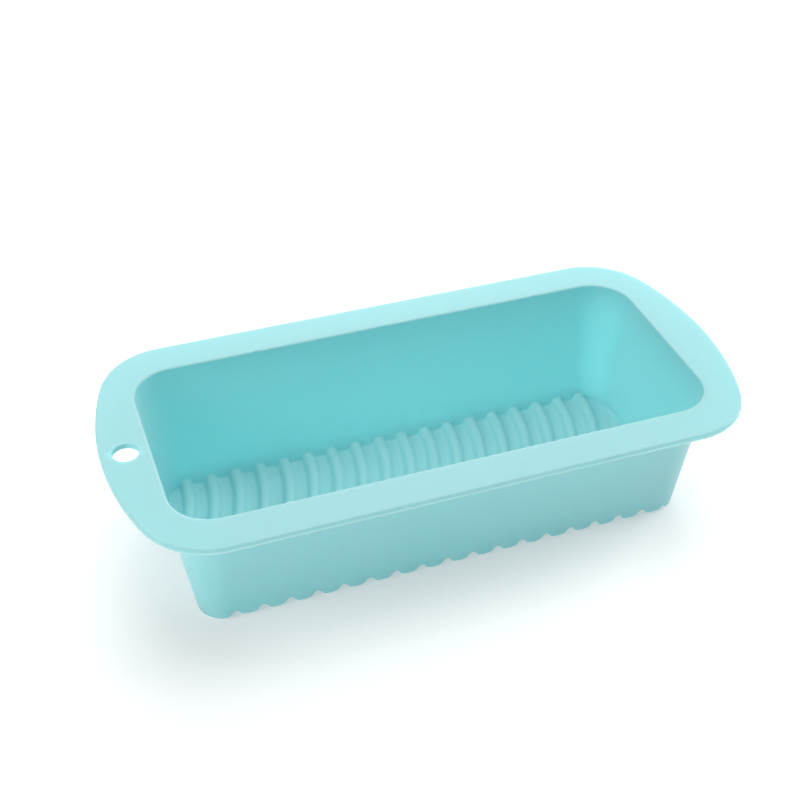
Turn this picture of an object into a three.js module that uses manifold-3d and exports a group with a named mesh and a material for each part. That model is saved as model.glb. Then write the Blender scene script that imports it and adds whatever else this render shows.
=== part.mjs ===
// Silicone soap mould: a long loaf-shaped tray with drafted walls, a flat flange round its rim,
// a hanging hole in one end tab and a floor of S-shaped ribs. Millimetres, +Z up. The origin is on
// the surface that it stands on, under the middle of the tray. +X runs along the length, away from
// the hanging hole.
//
// The real mould is one moulding. It is divided here into zones that a person would name: the four
// stretches of flange, the four walls and the floor. Zones of one moulding meet face to face.

import * as THREE from "three";
import { mergeVertices } from "three/addons/utils/BufferGeometryUtils.js";
import Module from "manifold-3d";

const wasm = await Module();
wasm.setup();

// ---------------------------------------------------------------- driving dimensions

const LENGTH = 285;                 // over the two end tabs
const WIDTH = 141;                  // over the flange
const HEIGHT = 65.5;                // floor lobes to rim face

const RIM_THICKNESS = 2.6;
const RIM_CORNER_RADIUS = 32.5;
const END_BOW_RADIUS = 148;         // the outer edge of each end tab is a shallow arc

const OPENING_LENGTH = 242.5;
const OPENING_WIDTH = 105;
const OPENING_CORNER_RADIUS = 19;

const WALL = 2;                     // silicone thickness of the walls and the floor
const DRAFT = 0.141;                // the walls lean in by this much for each millimetre of depth
const FLOOR_EDGE_RADIUS = 3;        // outer radius where the walls turn into the floor

const HANG_HOLE_DIAMETER = 12;
const HANG_HOLE_X = -131.5;

const RIB_PITCH = 12.1;
const RIB_COUNT = 20;
const RIBS_OFF_CENTRE = 2;          // the rib pattern's middle lies this far towards the grip tab
const RIB_HEIGHT = 3.5;             // above the floor between the ribs
const RIB_FOOT_WIDTH = 8;
const RIB_FOOT_RISE = 0.2;          // a rib's flanks start this far up its foot
const RIB_SHOULDER_WIDTH = 4.6;
const RIB_SHOULDER_DROP = 1.2;      // below the crest
const RIB_CREST_WIDTH = 2;
const RIB_SWAY = 10.9;              // how far a rib's end lies to the side of its middle
const RIB_REACH = 43;               // from the middle of a rib to where it stops bending
const RIB_RUN_ON = 8;               // a rib goes on this far past its reach, into the wall

const LOBE_LAND = 4;                // flat width of each lobe between two grooves under the floor
const GROOVE_DEPTH = 3.5;
const GROOVE_TOP_WIDTH = 1.8;
const GROOVE_NECK_WIDTH = 4.6;
const GROOVE_NECK_HEIGHT = 1.2;

const ZONE_END_X = 100;             // where the long sides end and the end zones start
const ZONE_FLOOR_Y = 36;            // where the floor ends and the long walls start
const ZONE_RIM_Z = 61;              // the rim's zones keep a short stub of wall under the flange
const BEYOND = 200;                 // further out than any of the mould

const SEGMENTS_PER_CORNER = 8;
const SEGMENTS_PER_HOLE = 32;
const FILLET_STEPS = 3;
const RIB_STEPS = 10;
const CUT_MARGIN = 1;               // how far a cutting shape stands past the face that it cuts

const SILICONE = { color: 0x82d6d9, roughness: 0.55, metalness: 0 };

// ---------------------------------------------------------------- solids

/** Turns a closed three.js geometry into a solid that can be cut and joined. */
function toSolid(geometry) {
  const bare = geometry.clone();
  bare.deleteAttribute("normal");
  bare.deleteAttribute("uv");
  const merged = mergeVertices(bare, 1e-4);
  return new wasm.Manifold(new wasm.Mesh({
    numProp: 3,
    vertProperties: new Float32Array(merged.attributes.position.array),
    triVerts: new Uint32Array(merged.index.array),
  }));
}

/** Turns a solid back into a three.js geometry. */
function toGeometry(solid) {
  const mesh = solid.getMesh();
  const geometry = new THREE.BufferGeometry();
  geometry.setAttribute("position", new THREE.BufferAttribute(new Float32Array(mesh.vertProperties), 3));
  geometry.setIndex(Array.from(mesh.triVerts));
  geometry.computeVertexNormals();
  return geometry;
}

/** A rectangle with round corners, centred on the origin. */
function roundedRectangle(length, width, radius) {
  const x = length / 2 - radius;
  const y = width / 2 - radius;
  const shape = new THREE.Shape();
  shape.absarc(x, -y, radius, -Math.PI / 2, 0);
  shape.absarc(x, y, radius, 0, Math.PI / 2);
  shape.absarc(-x, y, radius, Math.PI / 2, Math.PI);
  shape.absarc(-x, -y, radius, Math.PI, 1.5 * Math.PI);
  shape.closePath();
  return shape;
}

/** The rim's outer outline: straight sides, round corners and two shallow end arcs. */
function rimOutline() {
  const bowCentreX = LENGTH / 2 - END_BOW_RADIUS;
  const cornerY = WIDTH / 2 - RIM_CORNER_RADIUS;
  const cornerX = bowCentreX + Math.sqrt((END_BOW_RADIUS - RIM_CORNER_RADIUS) ** 2 - cornerY ** 2);
  const turn = Math.atan2(cornerY, cornerX - bowCentreX);
  const quarter = Math.PI / 2;
  const shape = new THREE.Shape();
  shape.absarc(cornerX, -cornerY, RIM_CORNER_RADIUS, -quarter, -turn);
  shape.absarc(bowCentreX, 0, END_BOW_RADIUS, -turn, turn);
  shape.absarc(cornerX, cornerY, RIM_CORNER_RADIUS, turn, quarter);
  shape.absarc(-cornerX, cornerY, RIM_CORNER_RADIUS, quarter, Math.PI - turn);
  shape.absarc(-bowCentreX, 0, END_BOW_RADIUS, Math.PI - turn, Math.PI + turn);
  shape.absarc(-cornerX, -cornerY, RIM_CORNER_RADIUS, Math.PI + turn, 1.5 * Math.PI);
  shape.closePath();
  return shape;
}

/** Heights and insets of a drafted wall that ends in a rounded floor edge, from the floor up. */
function wallProfile(floorZ, topZ, edgeRadius) {
  const draftAngle = Math.atan(DRAFT);
  const insetAtFloor = DRAFT * (HEIGHT - floorZ);
  const centreInset = insetAtFloor - DRAFT * edgeRadius + edgeRadius / Math.cos(draftAngle);
  const levels = [];
  for (let step = 0; step <= FILLET_STEPS; step++) {
    const angle = THREE.MathUtils.lerp(Math.PI / 2, draftAngle, step / FILLET_STEPS);
    levels.push({
      z: floorZ + edgeRadius * (1 - Math.sin(angle)),
      inset: centreInset - edgeRadius * Math.cos(angle),
    });
  }
  levels.push({ z: topZ, inset: DRAFT * (HEIGHT - topZ) });
  return levels;
}

/** A tub whose rounded-rectangle outline moves inwards by each level's inset. */
function tub(length, width, radius, levels) {
  const geometry = new THREE.ExtrudeGeometry(roundedRectangle(length, width, radius), {
    depth: 1,
    steps: levels.length - 1,
    bevelEnabled: false,
    curveSegments: SEGMENTS_PER_CORNER,
  });
  const position = geometry.attributes.position;
  const coreX = length / 2 - radius;
  const coreY = width / 2 - radius;
  for (let i = 0; i < position.count; i++) {
    const level = levels[Math.round(position.getZ(i) * (levels.length - 1))];
    const x = position.getX(i);
    const y = position.getY(i);
    const centreX = THREE.MathUtils.clamp(x, -coreX, coreX);
    const centreY = THREE.MathUtils.clamp(y, -coreY, coreY);
    const keep = (radius - level.inset) / radius;
    position.setXYZ(i, centreX + (x - centreX) * keep, centreY + (y - centreY) * keep, level.z);
  }
  return toSolid(geometry);
}

/** How far along X a rib lies from its middle, at a distance y from the centreline. */
function ribSway(y) {
  const reach = THREE.MathUtils.clamp(y / RIB_REACH, -1, 1);
  return RIB_SWAY * Math.sin(reach * Math.PI / 2);
}

/** A bar across the tray, of the section given in X and Z, that follows the ribs' S shape. */
function swayingBar(section, middleX) {
  const span = 2 * (RIB_REACH + RIB_RUN_ON);
  const geometry = new THREE.ExtrudeGeometry(section, { depth: span, steps: RIB_STEPS, bevelEnabled: false });
  geometry.rotateX(Math.PI / 2);
  geometry.translate(0, span / 2, 0);
  const position = geometry.attributes.position;
  for (let i = 0; i < position.count; i++) {
    position.setX(i, position.getX(i) + middleX + ribSway(position.getY(i)));
  }
  return toSolid(geometry);
}

/** A closed outline that is symmetric about X = 0, from half widths and heights going up. */
function symmetricSection(halves) {
  const right = halves.map(([half, z]) => new THREE.Vector2(half, z));
  const left = halves.map(([half, z]) => new THREE.Vector2(-half, z)).reverse();
  return new THREE.Shape([...right, ...left]);
}

/** Section of a rib: it stands in the floor and rises on sloping flanks to a narrow crest. */
function ribSection() {
  const crest = WALL + RIB_HEIGHT;
  return symmetricSection([
    [RIB_FOOT_WIDTH / 2, WALL * 0.75],
    [RIB_FOOT_WIDTH / 2, WALL + RIB_FOOT_RISE],
    [RIB_SHOULDER_WIDTH / 2, crest - RIB_SHOULDER_DROP],
    [RIB_CREST_WIDTH / 2, crest],
  ]);
}

/** Section of the groove under a rib: narrow at the top, opening out into the lobes beside it. */
function grooveSection() {
  const mouth = RIB_PITCH - LOBE_LAND;
  return symmetricSection([
    [mouth / 2, -CUT_MARGIN],
    [mouth / 2, 0],
    [GROOVE_NECK_WIDTH / 2, GROOVE_NECK_HEIGHT],
    [GROOVE_TOP_WIDTH / 2, GROOVE_DEPTH],
  ]);
}

/** A box between two corners, for cutting zones out of the moulding. */
function boxBetween(x0, x1, y0, y1, z0, z1) {
  const geometry = new THREE.BoxGeometry(x1 - x0, y1 - y0, z1 - z0);
  geometry.translate((x0 + x1) / 2, (y0 + y1) / 2, (z0 + z1) / 2);
  return toSolid(geometry);
}

// ---------------------------------------------------------------- the moulding

function buildMoulding() {
  const rimUnderside = HEIGHT - RIM_THICKNESS;
  const rimGeometry = new THREE.ExtrudeGeometry(rimOutline(), {
    depth: RIM_THICKNESS,
    bevelEnabled: false,
    curveSegments: SEGMENTS_PER_CORNER,
  });
  rimGeometry.translate(0, 0, rimUnderside);
  const rim = toSolid(rimGeometry);

  const skirt = tub(
    OPENING_LENGTH + 2 * WALL,
    OPENING_WIDTH + 2 * WALL,
    OPENING_CORNER_RADIUS + WALL,
    wallProfile(0, HEIGHT, FLOOR_EDGE_RADIUS),
  );
  const cavityLevels = wallProfile(WALL, HEIGHT, FLOOR_EDGE_RADIUS - WALL);
  cavityLevels.push({ z: HEIGHT + CUT_MARGIN, inset: 0 });
  const cavity = tub(OPENING_LENGTH, OPENING_WIDTH, OPENING_CORNER_RADIUS, cavityLevels);

  const hangHoleGeometry = new THREE.CylinderGeometry(
    HANG_HOLE_DIAMETER / 2,
    HANG_HOLE_DIAMETER / 2,
    RIM_THICKNESS + 2 * CUT_MARGIN,
    SEGMENTS_PER_HOLE,
  );
  hangHoleGeometry.rotateX(Math.PI / 2);
  hangHoleGeometry.translate(HANG_HOLE_X, 0, HEIGHT - RIM_THICKNESS / 2);
  const hangHole = toSolid(hangHoleGeometry);

  // A tub that lies half way through the wall: the ribs run into the wall and end there.
  const midWall = tub(
    OPENING_LENGTH + WALL,
    OPENING_WIDTH + WALL,
    OPENING_CORNER_RADIUS + WALL / 2,
    wallProfile(WALL / 2, HEIGHT, FLOOR_EDGE_RADIUS - WALL / 2),
  );

  let moulding = rim.add(skirt).subtract(cavity).subtract(hangHole);
  for (let i = 0; i < RIB_COUNT; i++) {
    const middleX = (i - (RIB_COUNT - 1) / 2) * RIB_PITCH + RIBS_OFF_CENTRE;
    moulding = moulding.add(swayingBar(ribSection(), middleX).intersect(midWall));
    moulding = moulding.subtract(swayingBar(grooveSection(), middleX));
  }
  return moulding;
}

// ---------------------------------------------------------------- zones

// Each zone is the stretch of the moulding between two values of X, two of Y and two of Z.
const zones = {
  rim_front: [-ZONE_END_X, ZONE_END_X, -BEYOND, 0, ZONE_RIM_Z, BEYOND],
  rim_back: [-ZONE_END_X, ZONE_END_X, 0, BEYOND, ZONE_RIM_Z, BEYOND],
  hanging_tab: [-BEYOND, -ZONE_END_X, -BEYOND, BEYOND, ZONE_RIM_Z, BEYOND],
  grip_tab: [ZONE_END_X, BEYOND, -BEYOND, BEYOND, ZONE_RIM_Z, BEYOND],
  wall_front: [-ZONE_END_X, ZONE_END_X, -BEYOND, -ZONE_FLOOR_Y, -BEYOND, ZONE_RIM_Z],
  wall_back: [-ZONE_END_X, ZONE_END_X, ZONE_FLOOR_Y, BEYOND, -BEYOND, ZONE_RIM_Z],
  wall_hanging_end: [-BEYOND, -ZONE_END_X, -BEYOND, BEYOND, -BEYOND, ZONE_RIM_Z],
  wall_grip_end: [ZONE_END_X, BEYOND, -BEYOND, BEYOND, -BEYOND, ZONE_RIM_Z],
  floor_ribbed: [-ZONE_END_X, ZONE_END_X, -ZONE_FLOOR_Y, ZONE_FLOOR_Y, -BEYOND, ZONE_RIM_Z],
};

const moulding = buildMoulding();
const mould = new THREE.Group();
mould.name = "soap_mould";
for (const [name, bounds] of Object.entries(zones)) {
  const geometry = toGeometry(moulding.intersect(boxBetween(...bounds)));
  const mesh = new THREE.Mesh(geometry, new THREE.MeshStandardMaterial(SILICONE));
  mesh.name = name;
  mould.add(mesh);
}

export default mould;
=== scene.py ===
"""Silicone soap mould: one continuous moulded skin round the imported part, with its studio. Metres, +Z up.

The skin is laid out in mesh code as one closed sheet of quads whose floor columns follow the ribs' S shape.
A Geometry Nodes tree then raises the ribs, presses in the grooves under them and dents the wall.
"""

import math  # noqa: E402

import bmesh  # noqa: E402
import bpy  # noqa: E402
import numpy as np  # noqa: E402
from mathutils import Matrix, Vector  # noqa: E402


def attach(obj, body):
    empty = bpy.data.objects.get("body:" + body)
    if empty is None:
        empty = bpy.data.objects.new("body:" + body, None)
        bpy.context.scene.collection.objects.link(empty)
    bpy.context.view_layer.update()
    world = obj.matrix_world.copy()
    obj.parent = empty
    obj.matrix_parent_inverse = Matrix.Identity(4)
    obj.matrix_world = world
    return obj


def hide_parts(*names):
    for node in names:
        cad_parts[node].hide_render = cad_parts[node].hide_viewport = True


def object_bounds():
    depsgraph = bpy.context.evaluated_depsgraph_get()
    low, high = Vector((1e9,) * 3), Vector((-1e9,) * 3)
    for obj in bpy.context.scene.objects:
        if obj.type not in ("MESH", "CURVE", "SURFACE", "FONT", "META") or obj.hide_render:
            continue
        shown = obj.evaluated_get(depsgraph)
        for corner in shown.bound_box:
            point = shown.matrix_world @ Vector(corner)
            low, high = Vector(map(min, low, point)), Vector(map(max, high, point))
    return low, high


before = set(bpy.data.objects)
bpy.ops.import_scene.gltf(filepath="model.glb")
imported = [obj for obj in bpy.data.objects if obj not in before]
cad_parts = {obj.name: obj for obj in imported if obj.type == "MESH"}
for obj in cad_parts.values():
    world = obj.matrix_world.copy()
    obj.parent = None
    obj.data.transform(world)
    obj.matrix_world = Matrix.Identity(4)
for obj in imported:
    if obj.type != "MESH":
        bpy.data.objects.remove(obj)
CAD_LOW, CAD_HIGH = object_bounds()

MM = 0.001
QUARTER = math.pi / 2

# ---------------------------------------------------------------- sizes of the mould

LENGTH = CAD_HIGH.x - CAD_LOW.x
WIDTH = CAD_HIGH.y - CAD_LOW.y
HEIGHT = CAD_HIGH.z - CAD_LOW.z

RIM_THICKNESS = 2.6 * MM
RIM_CORNER_RADIUS = 32.5 * MM
END_BOW_RADIUS = 148 * MM

OPENING_LENGTH = 242.5 * MM
OPENING_WIDTH = 105 * MM
OPENING_CORNER_RADIUS = 19 * MM
CORE_X = OPENING_LENGTH / 2 - OPENING_CORNER_RADIUS
CORE_Y = OPENING_WIDTH / 2 - OPENING_CORNER_RADIUS

WALL = 2 * MM
DRAFT = 0.141
DRAFT_ANGLE = math.atan(DRAFT)
INNER_FLOOR_RADIUS = 0.8 * MM
OUTER_FLOOR_RADIUS = 1.8 * MM
MOUTH_EDGE_RADIUS = 0.7 * MM
RIM_TOP_EDGE_RADIUS = 0.6 * MM
FLASH_RADIUS = 0.35 * MM
FLASH_STAND = 0.3 * MM
ROOT_RADIUS = 1.5 * MM

HANG_HOLE_X = -131.5 * MM
HANG_HOLE_RADIUS = 5.7 * MM
HANG_HOLE_EDGE = 0.3 * MM

RIB_PITCH = 12.1 * MM
RIB_COUNT = 20
RIBS_OFF_CENTRE = 2 * MM
RIB_HEIGHT = 3.5 * MM
RIB_SWAY = 10.9 * MM
RIB_REACH = 43 * MM
GROOVE_END = 104.5 * MM
GROOVE_FADE = 3 * MM
RIB_LINES = (0, 0.6, 1.2, 1.7, 2.1, 2.5, 2.9, 3.3, 3.8, 4.6)  # mesh lines beside a rib's middle, in mm

DENT_PLACES = (-61.9 * MM, 0.4 * MM, 77.8 * MM)
DENT_DEPTH = 0.35 * MM
DENT_WIDTH = 1.1 * MM
DENT_FOOT = 5 * MM

# How high each wave stands at a share of the way from its middle to the valley between two.
RIB_PROFILE = (
    (0, 1),
    (0.14, 0.975),
    (0.27, 0.88),
    (0.38, 0.69),
    (0.47, 0.42),
    (0.55, 0.17),
    (0.63, 0.03),
    (0.74, 0),
    (0.88, 0.03),
    (1, 0.05),
)
GROOVE_PROFILE = (
    (0, 1),
    (0.1, 0.97),
    (0.2, 0.86),
    (0.29, 0.64),
    (0.38, 0.37),
    (0.48, 0.17),
    (0.6, 0.075),
    (0.78, 0.02),
    (1, 0),
)

# ---------------------------------------------------------------- how finely it is drawn

FLOOR_ROWS = 44
COLUMN_GAP = 0.3 * MM
END_STRETCH = 12 * MM  # the last columns underneath spread over this much of each end
BISECTIONS = 48
EDGE_STEPS = 4
FLOOR_EDGE_STEPS = 6
HOLE_EDGE_STEPS = 6
HOLE_SIDES = 96
COLUMN_SAMPLES = 801
OUTLINE_SAMPLES = 4001
NEARLY = 1e-9
WELD = 0.001 * MM

# The wall takes part of the ribs' wave, less and less as it climbs.
WAVE_CLIMB = 12 * MM
WAVE_FALL = 1.5

# Where rings stand: up from the floor's edge and down from the mouth, in mm, and across the rim.
FOOT_RISES = (0.5, 1.2, 2.2, 3.5, 5, 7, 9.5, 12)
MIDDLE_RISES = (24, 38)
MOUTH_DROPS = (7, 6, 5, 4, 3, 2, 1, 0.4, 0)
OUTER_HEIGHTS = (40 * MM, 24 * MM)
RIM_TOP_SHARES = (0.03, 0.25, 0.5, 0.75, 0.97, 1)
UNDERSIDE_SHARES = (0.97, 0.6, 0.3, 0.03, 0)
RIM_SIDE_LINE = 1.1 * MM
BEAD_GAP = 0.15 * MM
RIM_PLACE = 0.3  # how far the rim's points have shifted from the inner floor's to the outer floor's

# ---------------------------------------------------------------- colours, light and camera

# The ribbed floor gets a brighter copy of the silicone colour, painted light that makes up for light lost
# down through it, and glows less inside; with the walls' values it looks grey.
SILICONE_DEEP = (0.355, 0.615, 0.64, 1)
SILICONE_PALE = (0.385, 0.65, 0.675, 1)
SILICONE_FLOOR_PAINTED_LIGHT = (0.38, 0.84, 0.87, 1)
FLOOR_GLOW = 0.15
GLOW_DEPTH = 0.009
GLOW_COLOURS = (0.55, 1.0, 1.0)
ROUGHNESS = (0.46, 0.58)

# Each softbox: name, place, what it points at, width and power.
SOFTBOXES = (
    ("back_window", (0.35, 1.3, 0.95), (0, 0, 0.04), 1.3, 12),
    ("overhead", (0.15, 0.1, 1.5), (0, 0, 0), 1.2, 10.3),
    ("left_side", (-1.2, -0.3, 0.75), (0.08, 0, 0.02), 0.8, 6),
    ("right_side", (1.3, 0.25, 0.6), (0, 0, 0.03), 0.9, 9),
)
WORLD_LIGHT = 0.1
PAPER_GLOW = 0.32
PAPER_GAP = 0.1 * MM
PAPER_HALF_SIZE = 6

CAMERA_LENS = 62.37
CAMERA_AZIMUTH = math.radians(-19.43)
CAMERA_ELEVATION = math.radians(37.71)
CAMERA_DISTANCE = 0.6102
CAMERA_TARGET = Vector((-0.0108, -0.0043, HEIGHT))


# ---------------------------------------------------------------- the plan of the mould

CORNER_ARC = OPENING_CORNER_RADIUS * math.pi / 2
SIDES = (CORE_Y, CORNER_ARC, 2 * CORE_X, CORNER_ARC, 2 * CORE_Y, CORNER_ARC, 2 * CORE_X, CORNER_ARC, CORE_Y)
SIDE_ENDS = np.concatenate([[0], np.cumsum(SIDES)])
ROUND = SIDE_ENDS[-1]


def walk(place):
    """Where the walk round the mouth stands: (core point x, core point y, outward angle)."""
    stretch = np.clip(np.searchsorted(SIDE_ENDS, place, side="right") - 1, 0, len(SIDES) - 1)
    share = (place - SIDE_ENDS[stretch]) / np.array(SIDES)[stretch]
    start_x = np.array([1, 1, 1, -1, -1, -1, -1, 1, 1]) * CORE_X
    end_x = np.array([1, 1, -1, -1, -1, -1, 1, 1, 1]) * CORE_X
    start_y = np.array([0, 1, 1, 1, 1, -1, -1, -1, -1]) * CORE_Y
    end_y = np.array([1, 1, 1, 1, -1, -1, -1, -1, 0]) * CORE_Y
    start_angle = np.array([0, 0, 1, 1, 2, 2, 3, 3, 4]) * QUARTER
    end_angle = np.array([0, 1, 1, 2, 2, 3, 3, 4, 4]) * QUARTER

    def between(start, end):
        return start[stretch] + (end - start)[stretch] * share

    return between(start_x, end_x), between(start_y, end_y), between(start_angle, end_angle)


def place_of(x, y):
    """The walk's place beside each plan point."""
    core_x = np.clip(x, -CORE_X, CORE_X)
    core_y = np.clip(y, -CORE_Y, CORE_Y)
    angle = np.arctan2(y - core_y, x - core_x)
    turned = np.where(angle < 0, angle + 2 * math.pi, angle)
    on_right = (x > CORE_X) & (np.abs(y) <= CORE_Y)
    on_left = (x < -CORE_X) & (np.abs(y) <= CORE_Y)
    on_back = (y > CORE_Y) & (np.abs(x) <= CORE_X)
    on_front = (y < -CORE_Y) & (np.abs(x) <= CORE_X)
    corner = np.minimum((turned / QUARTER).astype(int), 3)
    corner_start = SIDE_ENDS[np.array([1, 3, 5, 7])][corner]
    place = corner_start + (turned / QUARTER - corner) * CORNER_ARC
    place = np.where(on_right, np.where(y >= 0, y, ROUND + y), place)
    place = np.where(on_back, SIDE_ENDS[2] + CORE_X - x, place)
    place = np.where(on_left, SIDE_ENDS[4] + CORE_Y - y, place)
    return np.where(on_front, SIDE_ENDS[6] + x + CORE_X, place)


def tray_ring(place, inset):
    """Plan points of the tray's wall where it stands inset from the mouth; a negative inset is outside."""
    core_x, core_y, angle = walk(place)
    radius = OPENING_CORNER_RADIUS - inset
    return np.stack([core_x + radius * np.cos(angle), core_y + radius * np.sin(angle)], axis=1)


def rim_ring(place, inset):
    """Plan points of the rim's outer outline, beside the same places of the walk."""
    core_x, core_y, angle = walk(place)
    bow_x = LENGTH / 2 - END_BOW_RADIUS
    corner_y = WIDTH / 2 - RIM_CORNER_RADIUS
    corner_x = bow_x + math.sqrt((END_BOW_RADIUS - RIM_CORNER_RADIUS) ** 2 - corner_y**2)
    turn = math.atan2(corner_y, corner_x - bow_x)
    across = np.sign(np.cos(angle))
    tilt = np.arcsin(np.clip(np.abs(np.sin(angle)), 0, 1)) / QUARTER
    on_end = np.abs(core_y) < CORE_Y * (1 - NEARLY)
    around = turn + tilt * (QUARTER - turn)
    on_corner = np.where(tilt < 1 - NEARLY, across, 0)
    x = core_x * corner_x / CORE_X + on_corner * (RIM_CORNER_RADIUS - inset) * np.cos(around)
    y = np.sign(core_y) * (corner_y + (RIM_CORNER_RADIUS - inset) * np.sin(around))
    bow = turn * core_y / CORE_Y
    end_x = across * (bow_x + (END_BOW_RADIUS - inset) * np.cos(bow))
    end_y = (END_BOW_RADIUS - inset) * np.sin(bow)
    return np.stack([np.where(on_end, end_x, x), np.where(on_end, end_y, y)], axis=1)


# ---------------------------------------------------------------- floor columns along the ribs


def sway(y):
    return RIB_SWAY * np.sin(np.clip(y / RIB_REACH, -1, 1) * QUARTER)


def room_left(x, y, radius):
    """How far a plan point lies inside the floor's outline; negative outside it."""
    past_x = np.maximum(np.abs(x) - CORE_X, 0)
    past_y = np.maximum(np.abs(y) - CORE_Y, 0)
    return radius - np.hypot(past_x, past_y)


def column_ends(middles, radius):
    """Where columns that sway as the ribs do enter and leave the floor: (lowest y, highest y)."""
    reach = CORE_Y + radius
    samples = np.linspace(-reach, reach, COLUMN_SAMPLES)
    room = room_left(middles[:, None] + sway(samples)[None, :], samples[None, :], radius)
    inside = samples[np.argmax(room, axis=1)]
    ends = []
    for outside in (-reach - MM, reach + MM):
        near = inside.copy()
        far = np.full_like(near, outside)
        for _ in range(BISECTIONS):
            middle = (near + far) / 2
            is_in = room_left(middles + sway(middle), middle, radius) >= 0
            near = np.where(is_in, middle, near)
            far = np.where(is_in, far, middle)
        ends.append(near)
    return ends[0], ends[1]


def last_column(radius):
    """The middle of the last column that still touches the floor."""
    samples = np.linspace(-CORE_Y - radius, CORE_Y + radius, OUTLINE_SAMPLES)
    low, high = CORE_X, CORE_X + radius + RIB_SWAY + 5 * MM
    for _ in range(BISECTIONS):
        middle = (low + high) / 2
        if room_left(middle + sway(samples), samples, radius).max() > 0:
            low = middle
        else:
            high = middle
    return low


def column_middles():
    """Columns close together on the ribs' flanks and further apart between the ribs."""
    offsets = sorted({side * line * MM for line in RIB_LINES for side in (-1, 1)} | {RIB_PITCH / 2})
    first = -(RIB_COUNT - 1) / 2 * RIB_PITCH + RIBS_OFF_CENTRE
    ribs = first + RIB_PITCH * np.arange(-1, RIB_COUNT + 1)
    return (ribs[:, None] + np.array(offsets)).ravel()


def floor_grid(middles, radius):
    """Plan points of the floor, one row for each column."""
    low, high = column_ends(middles, radius)
    share = np.linspace(0, 1, FLOOR_ROWS + 1)
    y = low[:, None] + (high - low)[:, None] * share[None, :]
    x = middles[:, None] + sway(y)
    return np.stack([x, y], axis=2)


# ---------------------------------------------------------------- the skin as one closed mesh


class Skin:
    """Vertices and faces of the skin, with what the node tree needs to know at each vertex."""

    def __init__(self):
        self.points = []
        self.faces = []
        self.rib_share = []
        self.groove_share = []
        self.outward = []
        self.count = 0

    def add(self, plan, height, rib_share=0.0, groove_share=0.0, outward=None):
        """Adds a row of vertices at one height and returns their numbers."""
        numbers = np.arange(self.count, self.count + len(plan))
        self.points.append(np.column_stack([plan, np.full(len(plan), height)]))
        self.rib_share.append(np.full(len(plan), rib_share))
        self.groove_share.append(np.full(len(plan), groove_share))
        self.outward.append(np.zeros((len(plan), 2)) if outward is None else outward)
        self.count += len(plan)
        return numbers

    def bridge(self, lower, upper):
        """Quads between two closed rings."""
        next_lower = np.roll(lower, -1)
        next_upper = np.roll(upper, -1)
        self.faces.extend(np.column_stack([lower, next_lower, next_upper, upper]).tolist())

    def lay(self, grid):
        """Quads over a grid of vertex numbers."""
        corners = [grid[:-1, :-1], grid[1:, :-1], grid[1:, 1:], grid[:-1, 1:]]
        for quad in np.stack([c.ravel() for c in corners], axis=1).tolist():
            face = list(dict.fromkeys(quad))
            if len(face) > 2:
                self.faces.append(face)


def rim_of_grid(grid):
    """The closed ring round a floor grid whose first and last columns are single points."""
    top = grid[::-1, -1]
    bottom = grid[1:-1, 0]
    return np.concatenate([top, bottom])


def arc(centre_inset, centre_z, radius, start, end, steps):
    """Inset and height of points on an arc; angles are above the outward direction."""
    angles = np.linspace(start, end, steps + 1)
    return [(centre_inset - radius * math.cos(a), centre_z + radius * math.sin(a)) for a in angles]


def edge_arc(radius, start, end, steps=EDGE_STEPS):
    """Steps round an edge after its first point: how far outward and how far up each lies from its centre."""
    turns = [start + (end - start) * step / steps for step in range(1, steps + 1)]
    return [(radius * math.cos(turn), radius * math.sin(turn)) for turn in turns]


def wall_share(rise):
    """How much of the ribs' wave the wall still takes, at a height above the floor's edge."""
    return max(0.0, 1 - rise / WAVE_CLIMB) ** WAVE_FALL


def foot_inset(height, radius):
    """The inset of the rounded floor edge's centre, for a wall of this height."""
    return DRAFT * (height - radius) + radius / math.cos(DRAFT_ANGLE)


def both_columns(inner_radius, outer_radius):
    """Middles of the columns inside, and of as many underneath, where the floor is slightly larger."""
    inner_last = last_column(inner_radius)
    outer_last = last_column(outer_radius)
    middles = column_middles()
    middles = middles[np.abs(middles) < inner_last - COLUMN_GAP]
    middles = np.concatenate([[-inner_last], middles, [inner_last]])
    stretch_from = inner_last - END_STRETCH
    beyond = np.maximum(np.abs(middles) - stretch_from, 0)
    spread = (outer_last - stretch_from) / (inner_last - stretch_from)
    return middles, np.sign(middles) * (np.minimum(np.abs(middles), stretch_from) + beyond * spread)


def lay_floor(skin, middles, radius, height, **shares):
    """Lays one side of the floor and returns the ring round it, with the walk's place of each point."""
    plan = floor_grid(middles, radius)
    rows = [skin.add(column, height, **shares) for column in plan]
    for end in (0, -1):
        rows[end][:] = rows[end][0]
    grid = np.array(rows)
    skin.lay(grid)
    edge = rim_of_grid(plan)
    return rim_of_grid(grid), place_of(edge[:, 0], edge[:, 1])


def rim_side():
    """Inset and height of the rings down the rim's side: rounded top edge, flat side, bead of flash."""
    bead_z = HEIGHT - RIM_THICKNESS + FLASH_RADIUS
    edge_inset = FLASH_STAND + RIM_TOP_EDGE_RADIUS
    edge_z = HEIGHT - RIM_TOP_EDGE_RADIUS
    rings = [(edge_inset - out, edge_z + up) for out, up in edge_arc(RIM_TOP_EDGE_RADIUS, QUARTER, 0)]
    rings.append((FLASH_STAND, HEIGHT - RIM_SIDE_LINE))
    rings.append((FLASH_STAND, bead_z + FLASH_RADIUS + BEAD_GAP))
    # Where the flat side turns out into the bead.
    rings.append((FLASH_STAND * 0.85, bead_z + FLASH_RADIUS * 0.95))
    for step in range(EDGE_STEPS + 1):
        turn = math.pi / 3 - (QUARTER + math.pi / 3) * step / EDGE_STEPS
        rings.append((FLASH_RADIUS * (1 - math.cos(turn)), bead_z + FLASH_RADIUS * math.sin(turn)))
    return rings


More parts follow.
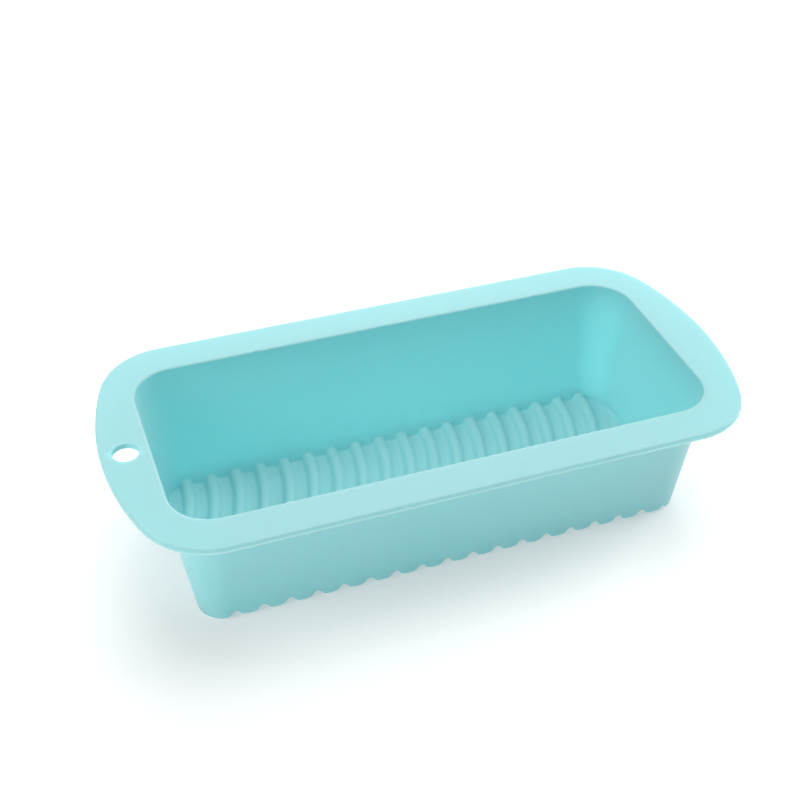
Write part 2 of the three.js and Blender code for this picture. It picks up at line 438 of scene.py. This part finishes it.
def build_skin():
    """Grows the skin ring by ring: up the inside, out over the rim, down its side and down the outside."""
    skin = Skin()
    inner_inset = foot_inset(HEIGHT - WALL, INNER_FLOOR_RADIUS)
    outer_inset = foot_inset(HEIGHT, OUTER_FLOOR_RADIUS) - WALL
    inner_radius = OPENING_CORNER_RADIUS - inner_inset
    outer_radius = OPENING_CORNER_RADIUS - outer_inset
    inner_middles, outer_middles = both_columns(inner_radius, outer_radius)
    ring, inner_place = lay_floor(skin, inner_middles, inner_radius, WALL, rib_share=1.0)
    last_ring, outer_place = lay_floor(skin, outer_middles, outer_radius, 0.0, groove_share=1.0)

    def place_at(share):
        """Places that go from the inner floor's to the outer floor's by the shorter way."""
        gap = (outer_place - inner_place + ROUND / 2) % ROUND - ROUND / 2
        return (inner_place + gap * share) % ROUND

    def grow(row):
        nonlocal ring
        skin.bridge(ring, row)
        ring = row

    def grow_tray(place, inset, z, **shares):
        _, _, angle = walk(place)
        outward = np.stack([np.cos(angle), np.sin(angle)], axis=1)
        grow(skin.add(tray_ring(place, inset), z, outward=outward, **shares))

    def grow_rim(share, tray_inset, rim_inset, z):
        """A ring part of the way from the tray's wall to the rim's outer edge."""
        plan = tray_ring(place_at(RIM_PLACE), tray_inset) * (1 - share)
        grow(skin.add(plan + rim_ring(place_at(RIM_PLACE), rim_inset) * share, z))

    # Up the inner wall.
    centre_z = WALL + INNER_FLOOR_RADIUS
    fillet = arc(inner_inset, centre_z, INNER_FLOOR_RADIUS, -QUARTER, -DRAFT_ANGLE, EDGE_STEPS)
    for inset, z in fillet[1:]:
        grow_tray(place_at(0), inset, z, rib_share=1.0)
    foot = fillet[-1][1]
    mouth_inset = DRAFT * MOUTH_EDGE_RADIUS - MOUTH_EDGE_RADIUS / math.cos(DRAFT_ANGLE)
    mouth_z = HEIGHT - MOUTH_EDGE_RADIUS
    wall_top = mouth_z - MOUTH_EDGE_RADIUS * math.sin(DRAFT_ANGLE)
    heights = [foot + rise * MM for rise in FOOT_RISES + MIDDLE_RISES]
    heights += [wall_top - drop * MM for drop in MOUTH_DROPS]
    for z in heights:
        share = (z - foot) / (wall_top - foot) * RIM_PLACE
        grow_tray(place_at(share), DRAFT * (HEIGHT - z), z, rib_share=wall_share(z - foot))

    # Round the mouth's edge, over the rim and down its side.
    for out, up in edge_arc(MOUTH_EDGE_RADIUS, DRAFT_ANGLE, QUARTER):
        grow_tray(place_at(RIM_PLACE), mouth_inset + out, mouth_z + up)
    for share in RIM_TOP_SHARES:
        grow_rim(share, mouth_inset, FLASH_STAND + RIM_TOP_EDGE_RADIUS, HEIGHT)
    for inset, z in rim_side():
        grow_rim(1, mouth_inset, inset, z)

    # Back under the rim and into the outer wall.
    underside = HEIGHT - RIM_THICKNESS
    root_inset = -WALL + DRAFT * (RIM_THICKNESS + ROOT_RADIUS) - ROOT_RADIUS / math.cos(DRAFT_ANGLE)
    for share in UNDERSIDE_SHARES:
        grow_rim(share, root_inset, FLASH_RADIUS, underside)
    for out, up in edge_arc(ROOT_RADIUS, QUARTER, math.pi - DRAFT_ANGLE):
        grow_tray(place_at(RIM_PLACE), root_inset - out, underside - ROOT_RADIUS + up)

    # Down the outer wall and under the floor.
    start = underside - ROOT_RADIUS + ROOT_RADIUS * math.sin(DRAFT_ANGLE)
    centre_z = OUTER_FLOOR_RADIUS
    fillet = arc(outer_inset, centre_z, OUTER_FLOOR_RADIUS, -DRAFT_ANGLE, -QUARTER, FLOOR_EDGE_STEPS)
    foot = fillet[0][1]
    for z in [start - MM, *OUTER_HEIGHTS, *(foot + rise * MM for rise in reversed(FOOT_RISES))]:
        share = RIM_PLACE + (1 - RIM_PLACE) * (start - z) / (start - foot)
        grow_tray(place_at(share), DRAFT * (HEIGHT - z) - WALL, z, groove_share=wall_share(z - foot))
    for inset, z in fillet[:-1]:
        grow_tray(place_at(1), inset, z, groove_share=1.0)
    grow(last_ring)
    return skin


def skin_object(skin):
    mesh = bpy.data.meshes.new("mould_skin")
    points = np.concatenate(skin.points)
    mesh.from_pydata(points.tolist(), [], skin.faces)
    for name, values in (("rib_share", skin.rib_share), ("groove_share", skin.groove_share)):
        mesh.attributes.new(name, "FLOAT", "POINT").data.foreach_set("value", np.concatenate(values))
    outward = np.column_stack([np.concatenate(skin.outward), np.zeros(len(points))])
    mesh.attributes.new("outward", "FLOAT_VECTOR", "POINT").data.foreach_set("vector", outward.ravel())
    made = bpy.data.objects.new("mould_skin", mesh)
    bpy.context.scene.collection.objects.link(made)
    return made


# ---------------------------------------------------------------- node trees


class Field:
    """A value in a node tree that plain arithmetic works on."""

    def __init__(self, tree, socket):
        self.tree = tree
        self.socket = socket

    def math(self, operation, *others):
        node = self.tree.nodes.new("ShaderNodeMath")
        node.operation = operation
        for socket, value in zip(node.inputs, (self, *others)):
            feed(self.tree, value, socket)
        return Field(self.tree, node.outputs[0])

    def __add__(self, other):
        return self.math("ADD", other)

    def __sub__(self, other):
        return self.math("SUBTRACT", other)

    def __mul__(self, other):
        return self.math("MULTIPLY", other)

    def __truediv__(self, other):
        return self.math("DIVIDE", other)

    def clamped(self, low, high):
        return self.math("MAXIMUM", low).math("MINIMUM", high)

    def from_one(self):
        return self.math("MULTIPLY_ADD", -1.0, 1.0)


def feed(tree, value, socket):
    """Links a field to a socket, or sets a plain number on it."""
    if isinstance(value, Field):
        tree.links.new(value.socket, socket)
    else:
        socket.default_value = value


def named_attribute(tree, name, kind="FLOAT"):
    node = tree.nodes.new("GeometryNodeInputNamedAttribute")
    node.data_type = kind
    node.inputs["Name"].default_value = name
    return Field(tree, node.outputs["Attribute"])


def profile(tree, value, points):
    """A drawn curve: how high the wave stands at a share of the way from a rib's middle to the valley."""
    node = tree.nodes.new("ShaderNodeFloatCurve")
    curve = node.mapping.curves[0]
    curve.points[0].location = points[0]
    curve.points[1].location = points[-1]
    for place in points[1:-1]:
        curve.points.new(*place)
    node.mapping.update()
    feed(tree, value, node.inputs["Value"])
    return Field(tree, node.outputs[0])


def wave_tree():
    """Lifts the floor into ribs, hollows it underneath to match and presses three dents in the back wall."""
    tree = bpy.data.node_groups.new("ribs_and_grooves", "GeometryNodeTree")
    tree.interface.new_socket("Geometry", in_out="INPUT", socket_type="NodeSocketGeometry")
    sizes = (
        "Rib pitch",
        "Ribs off centre",
        "Rib height",
        "Rib sway",
        "Rib reach",
        "Groove end",
        "Draft",
        "Dent depth",
        "Dent width",
        "Dent foot",
        "Rim height",
        "Dent 1",
        "Dent 2",
        "Dent 3",
    )
    for name in sizes:
        tree.interface.new_socket(name, in_out="INPUT", socket_type="NodeSocketFloat")
    tree.interface.new_socket("Silicone", in_out="INPUT", socket_type="NodeSocketMaterial")
    tree.interface.new_socket("Geometry", in_out="OUTPUT", socket_type="NodeSocketGeometry")
    start = tree.nodes.new("NodeGroupInput")
    size = {name: Field(tree, start.outputs[name]) for name in sizes}

    position = tree.nodes.new("GeometryNodeInputPosition")
    split = tree.nodes.new("ShaderNodeSeparateXYZ")
    tree.links.new(position.outputs[0], split.inputs[0])
    x, y, z = (Field(tree, socket) for socket in split.outputs)

    lean = (y / size["Rib reach"]).clamped(-1.0, 1.0) * QUARTER
    along = x - lean.math("SINE") * size["Rib sway"] - size["Ribs off centre"]
    half_pitch = size["Rib pitch"] * 0.5
    # The ribs' middles lie half a pitch either side of the pattern's middle.
    from_rib = (along.math("PINGPONG", half_pitch) / half_pitch).from_one()
    rib = profile(tree, from_rib, RIB_PROFILE) * named_attribute(tree, "rib_share")
    groove = profile(tree, from_rib, GROOVE_PROFILE) * named_attribute(tree, "groove_share")
    past_end = (x.math("ABSOLUTE") - size["Groove end"]) / GROOVE_FADE
    groove = groove * past_end.clamped(0.0, 1.0).from_one()
    lift = (rib + groove) * size["Rib height"]

    drop = (size["Rim height"] - z) / size["Dent foot"]
    in_height = (drop * drop * drop * -1.0).math("EXPONENT")
    dents = None
    for number in (1, 2, 3):
        off = (x - size[f"Dent {number}"]) / size["Dent width"]
        bump = (off * off * -1.0).math("EXPONENT")
        dents = bump if dents is None else dents + bump
    inner_wall = named_attribute(tree, "dent_share")
    dent = dents * in_height * inner_wall * size["Dent depth"]

    push = tree.nodes.new("ShaderNodeVectorMath")
    push.operation = "SCALE"
    feed(tree, named_attribute(tree, "outward", "FLOAT_VECTOR"), push.inputs[0])
    feed(tree, lift * size["Draft"] + dent, push.inputs["Scale"])
    raise_by = tree.nodes.new("ShaderNodeCombineXYZ")
    feed(tree, lift, raise_by.inputs["Z"])
    total = tree.nodes.new("ShaderNodeVectorMath")
    tree.links.new(push.outputs[0], total.inputs[0])
    tree.links.new(raise_by.outputs[0], total.inputs[1])

    move = tree.nodes.new("GeometryNodeSetPosition")
    tree.links.new(start.outputs["Geometry"], move.inputs["Geometry"])
    tree.links.new(total.outputs[0], move.inputs["Offset"])
    weld = tree.nodes.new("GeometryNodeMergeByDistance")
    weld.inputs["Distance"].default_value = WELD
    tree.links.new(move.outputs[0], weld.inputs["Geometry"])
    realize = tree.nodes.new("GeometryNodeRealizeInstances")
    tree.links.new(weld.outputs[0], realize.inputs[0])
    paint = tree.nodes.new("GeometryNodeSetMaterial")
    tree.links.new(realize.outputs[0], paint.inputs["Geometry"])
    tree.links.new(start.outputs["Silicone"], paint.inputs["Material"])
    end = tree.nodes.new("NodeGroupOutput")
    tree.links.new(paint.outputs[0], end.inputs[0])
    return tree


def keep_result(piece, modifier):
    """Makes what the modifier gives the piece's plain mesh and takes the modifier off."""
    graph = bpy.context.evaluated_depsgraph_get()
    made = bpy.data.meshes.new_from_object(piece.evaluated_get(graph))
    piece.modifiers.remove(modifier)
    piece.data = made


def through_nodes(piece, tree, values):
    """Runs a tree on a piece, with its named inputs set."""
    modifier = piece.modifiers.new(tree.name, "NODES")
    modifier.node_group = tree
    for item in tree.interface.items_tree:
        if item.in_out == "INPUT" and item.name in values:
            modifier[item.identifier] = values[item.name]
    keep_result(piece, modifier)


# ---------------------------------------------------------------- hanging hole


def hole_cutter():
    """A round cutter that flares at both faces of the tab, so that it leaves rounded edges."""
    section = []
    for step in range(HOLE_EDGE_STEPS + 1):
        turn = QUARTER * step / HOLE_EDGE_STEPS
        flare = HANG_HOLE_EDGE * (1 - math.sin(turn))
        section.append((HANG_HOLE_RADIUS + flare, HEIGHT - HANG_HOLE_EDGE * (1 - math.cos(turn))))
    mirrored = [(radius, 2 * HEIGHT - RIM_THICKNESS - z) for radius, z in reversed(section)]
    proud = 1 * MM
    widest = HANG_HOLE_RADIUS + HANG_HOLE_EDGE
    section = [(0, HEIGHT + proud), (widest, HEIGHT + proud), *section, *mirrored]
    section += [(widest, HEIGHT - RIM_THICKNESS - proud), (0, HEIGHT - RIM_THICKNESS - proud)]
    mesh = bmesh.new()
    chain = [mesh.verts.new((radius, 0, z)) for radius, z in section]
    edges = [mesh.edges.new(pair) for pair in zip(chain, chain[1:])]
    bmesh.ops.spin(
        mesh,
        geom=chain + edges,
        axis=(0, 0, 1),
        cent=(0, 0, 0),
        steps=HOLE_SIDES,
        angle=2 * math.pi,
        use_merge=True,
    )
    bmesh.ops.remove_doubles(mesh, verts=mesh.verts, dist=WELD)
    bmesh.ops.translate(mesh, verts=mesh.verts, vec=(HANG_HOLE_X, 0, 0))
    bmesh.ops.recalc_face_normals(mesh, faces=mesh.faces)
    data = bpy.data.meshes.new("hole_cutter")
    mesh.to_mesh(data)
    mesh.free()
    cutter = bpy.data.objects.new("hole_cutter", data)
    bpy.context.scene.collection.objects.link(cutter)
    return cutter


def cut_hole(piece):
    cutter = hole_cutter()
    modifier = piece.modifiers.new("hole", "BOOLEAN")
    modifier.object = cutter
    modifier.operation = "DIFFERENCE"
    modifier.solver = "EXACT"
    keep_result(piece, modifier)
    bpy.data.objects.remove(cutter)


def tidy_mesh(piece):
    """Welds the seams, turns every face outwards and smooths the shading."""
    mesh = bmesh.new()
    mesh.from_mesh(piece.data)
    bmesh.ops.remove_doubles(mesh, verts=mesh.verts, dist=2 * WELD)
    bmesh.ops.dissolve_degenerate(mesh, edges=mesh.edges, dist=WELD)
    bmesh.ops.recalc_face_normals(mesh, faces=mesh.faces)
    for face in mesh.faces:
        face.smooth = True
    mesh.to_mesh(piece.data)
    mesh.free()


# ---------------------------------------------------------------- silicone


def shader(material, kind, **values):
    node = material.node_tree.nodes.new(kind)
    for name, value in values.items():
        setattr(node, name, value)
    return node


def silicone():
    """Matte turquoise silicone: soft light inside it, a fine moulded grain, slight clouding and a brighter
    painted-light copy of its colour on the ribbed floor.
    """
    material = bpy.data.materials.new("silicone")
    material.use_nodes = True
    tree = material.node_tree
    surface = tree.nodes["Principled BSDF"]
    surface.inputs["Subsurface Radius"].default_value = GLOW_COLOURS
    surface.inputs["Subsurface Scale"].default_value = GLOW_DEPTH
    surface.inputs["IOR"].default_value = 1.41
    surface.inputs["Specular IOR Level"].default_value = 0.8

    place = shader(material, "ShaderNodeTexCoord")
    on_floor = shader(material, "ShaderNodeAttribute", attribute_name="rib_share")
    glow = shader(material, "ShaderNodeMapRange")
    glow.inputs["To Min"].default_value = 1
    glow.inputs["To Max"].default_value = FLOOR_GLOW
    tree.links.new(on_floor.outputs["Fac"], glow.inputs["Value"])
    tree.links.new(glow.outputs["Result"], surface.inputs["Subsurface Weight"])
    cloud = shader(material, "ShaderNodeTexNoise")
    cloud.inputs["Scale"].default_value = 22
    cloud.inputs["Detail"].default_value = 3
    tree.links.new(place.outputs["Object"], cloud.inputs["Vector"])
    tint = shader(material, "ShaderNodeMix", data_type="RGBA")
    tint.inputs["A"].default_value = SILICONE_DEEP
    tint.inputs["B"].default_value = SILICONE_PALE
    tree.links.new(cloud.outputs["Fac"], tint.inputs["Factor"])
    # Painted light: the ribbed floor takes a brighter copy of the silicone colour, standing in for light lost
    # down through it.
    lit = shader(material, "ShaderNodeMix", data_type="RGBA")
    tree.links.new(on_floor.outputs["Fac"], lit.inputs["Factor"])
    tree.links.new(tint.outputs["Result"], lit.inputs["A"])
    lit.inputs["B"].default_value = SILICONE_FLOOR_PAINTED_LIGHT
    tree.links.new(lit.outputs["Result"], surface.inputs["Base Color"])

    rough = shader(material, "ShaderNodeMapRange")
    rough.inputs["To Min"].default_value = ROUGHNESS[0]
    rough.inputs["To Max"].default_value = ROUGHNESS[1]
    tree.links.new(cloud.outputs["Fac"], rough.inputs["Value"])
    tree.links.new(rough.outputs["Result"], surface.inputs["Roughness"])

    grain = shader(material, "ShaderNodeTexNoise")
    grain.inputs["Scale"].default_value = 2200
    grain.inputs["Detail"].default_value = 2
    tree.links.new(place.outputs["Object"], grain.inputs["Vector"])
    bump = shader(material, "ShaderNodeBump")
    bump.inputs["Strength"].default_value = 0.12
    bump.inputs["Distance"].default_value = 0.08 * MM
    tree.links.new(grain.outputs["Fac"], bump.inputs["Height"])
    tree.links.new(bump.outputs["Normal"], surface.inputs["Normal"])
    return material


# ---------------------------------------------------------------- studio


def make_camera():
    data = bpy.data.cameras.new("camera")
    data.lens = CAMERA_LENS
    data.sensor_width = 36
    camera = bpy.data.objects.new("camera", data)
    bpy.context.scene.collection.objects.link(camera)
    back = Vector(
        (
            math.sin(CAMERA_AZIMUTH) * math.cos(CAMERA_ELEVATION),
            -math.cos(CAMERA_AZIMUTH) * math.cos(CAMERA_ELEVATION),
            math.sin(CAMERA_ELEVATION),
        )
    )
    camera.location = CAMERA_TARGET + back * CAMERA_DISTANCE
    camera.rotation_mode = "QUATERNION"
    camera.rotation_quaternion = (-back).to_track_quat("-Z", "Y")
    bpy.context.scene.camera = camera


def softbox(name, place, aim, width, power):
    data = bpy.data.lights.new(name, "AREA")
    data.shape = "SQUARE"
    data.size = width
    data.energy = power
    light = bpy.data.objects.new(name, data)
    bpy.context.scene.collection.objects.link(light)
    light.location = place
    light.rotation_mode = "QUATERNION"
    light.rotation_quaternion = (Vector(aim) - Vector(place)).to_track_quat("-Z", "Y")


def make_studio():
    scene = bpy.context.scene
    scene.view_settings.view_transform = "Standard"
    world = bpy.data.worlds.new("studio")
    scene.world = world
    world.use_nodes = True
    background = world.node_tree.nodes["Background"]
    background.inputs["Color"].default_value = (1, 1, 1, 1)
    background.inputs["Strength"].default_value = WORLD_LIGHT

    for setting in SOFTBOXES:
        softbox(*setting)

    mesh = bmesh.new()
    bmesh.ops.create_grid(mesh, x_segments=2, y_segments=2, size=PAPER_HALF_SIZE)
    data = bpy.data.meshes.new("floor")
    mesh.to_mesh(data)
    mesh.free()
    floor = bpy.data.objects.new("floor", data)
    scene.collection.objects.link(floor)
    paper = bpy.data.materials.new("white_paper")
    paper.use_nodes = True
    surface = paper.node_tree.nodes["Principled BSDF"]
    surface.inputs["Base Color"].default_value = (0.96, 0.96, 0.96, 1)
    surface.inputs["Roughness"].default_value = 0.9
    surface.inputs["Emission Color"].default_value = (1, 1, 1, 1)
    surface.inputs["Emission Strength"].default_value = PAPER_GLOW
    data.materials.append(paper)
    floor.location.z = -PAPER_GAP


# ---------------------------------------------------------------- the scene


def dent_share(skin):
    """Which points lie on the upper back wall inside, the only ones that the dents move."""
    points = np.concatenate(skin.points)
    outward = np.concatenate(skin.outward)
    inside = room_left(points[:, 0], points[:, 1], OPENING_CORNER_RADIUS) >= -0.1 * MM
    return (inside & (outward[:, 1] > 0.99) & (points[:, 2] > 40 * MM)).astype(float)


def make_mould():
    skin = build_skin()
    piece = skin_object(skin)
    shares = piece.data.attributes.new("dent_share", "FLOAT", "POINT")
    shares.data.foreach_set("value", dent_share(skin))
    through_nodes(
        piece,
        wave_tree(),
        {
            "Rib pitch": RIB_PITCH,
            "Ribs off centre": RIBS_OFF_CENTRE,
            "Rib height": RIB_HEIGHT,
            "Rib sway": RIB_SWAY,
            "Rib reach": RIB_REACH,
            "Groove end": GROOVE_END,
            "Draft": DRAFT,
            "Dent depth": DENT_DEPTH,
            "Dent width": DENT_WIDTH,
            "Dent foot": DENT_FOOT,
            "Rim height": HEIGHT,
            "Dent 1": DENT_PLACES[0],
            "Dent 2": DENT_PLACES[1],
            "Dent 3": DENT_PLACES[2],
            "Silicone": silicone(),
        },
    )
    tidy_mesh(piece)
    cut_hole(piece)
    tidy_mesh(piece)
    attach(piece, "root")
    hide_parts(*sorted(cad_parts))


make_camera()
make_studio()
make_mould()
